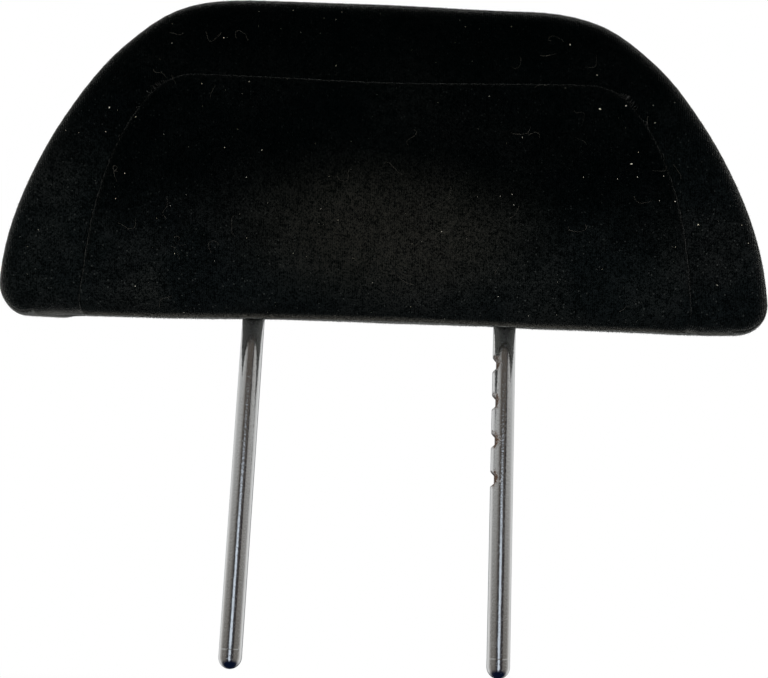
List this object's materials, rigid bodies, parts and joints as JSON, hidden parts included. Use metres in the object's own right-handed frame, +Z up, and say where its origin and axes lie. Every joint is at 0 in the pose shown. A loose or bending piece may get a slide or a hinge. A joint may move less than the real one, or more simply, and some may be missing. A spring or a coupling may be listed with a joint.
{
  "type": "car headrest",
  "caption": "Low, wide padded headrest in black velour on a bent chromed hoop, with notches for height on one leg.",
  "frame": {"origin": "midway between the tips of the two legs", "axes": "+X to the right as seen from the front, -Y out of the front, +Z up along the legs"},
  "size_m": [0.328, 0.1083, 0.2868],
  "materials": {
    "velour": "black knitted velour with a short pile, dull, a little worn in the middle",
    "chrome_plate": "bright chromium plate on steel, with fine pits and rust at the notches",
    "armature_steel": "bare mild steel",
    "strip_plastic": "black extruded plastic",
    "moulded_foam": "yellowed moulded polyurethane foam"
  },
  "bodies": {
    "root": {"support_hoop": "chrome_plate", "armature_plate": "armature_steel", "outline_wire": "armature_steel", "tie_strap_left": "armature_steel", "tie_strap_right": "armature_steel", "closing_strip_front": "strip_plastic", "closing_strip_rear": "strip_plastic", "foam_core": "moulded_foam", "front_panel": "velour", "front_border": "velour", "side_band": "velour", "rear_panel": "velour", "underside_front_flap": "velour", "underside_rear_flap": "velour"}
  },
  "joints": []
}
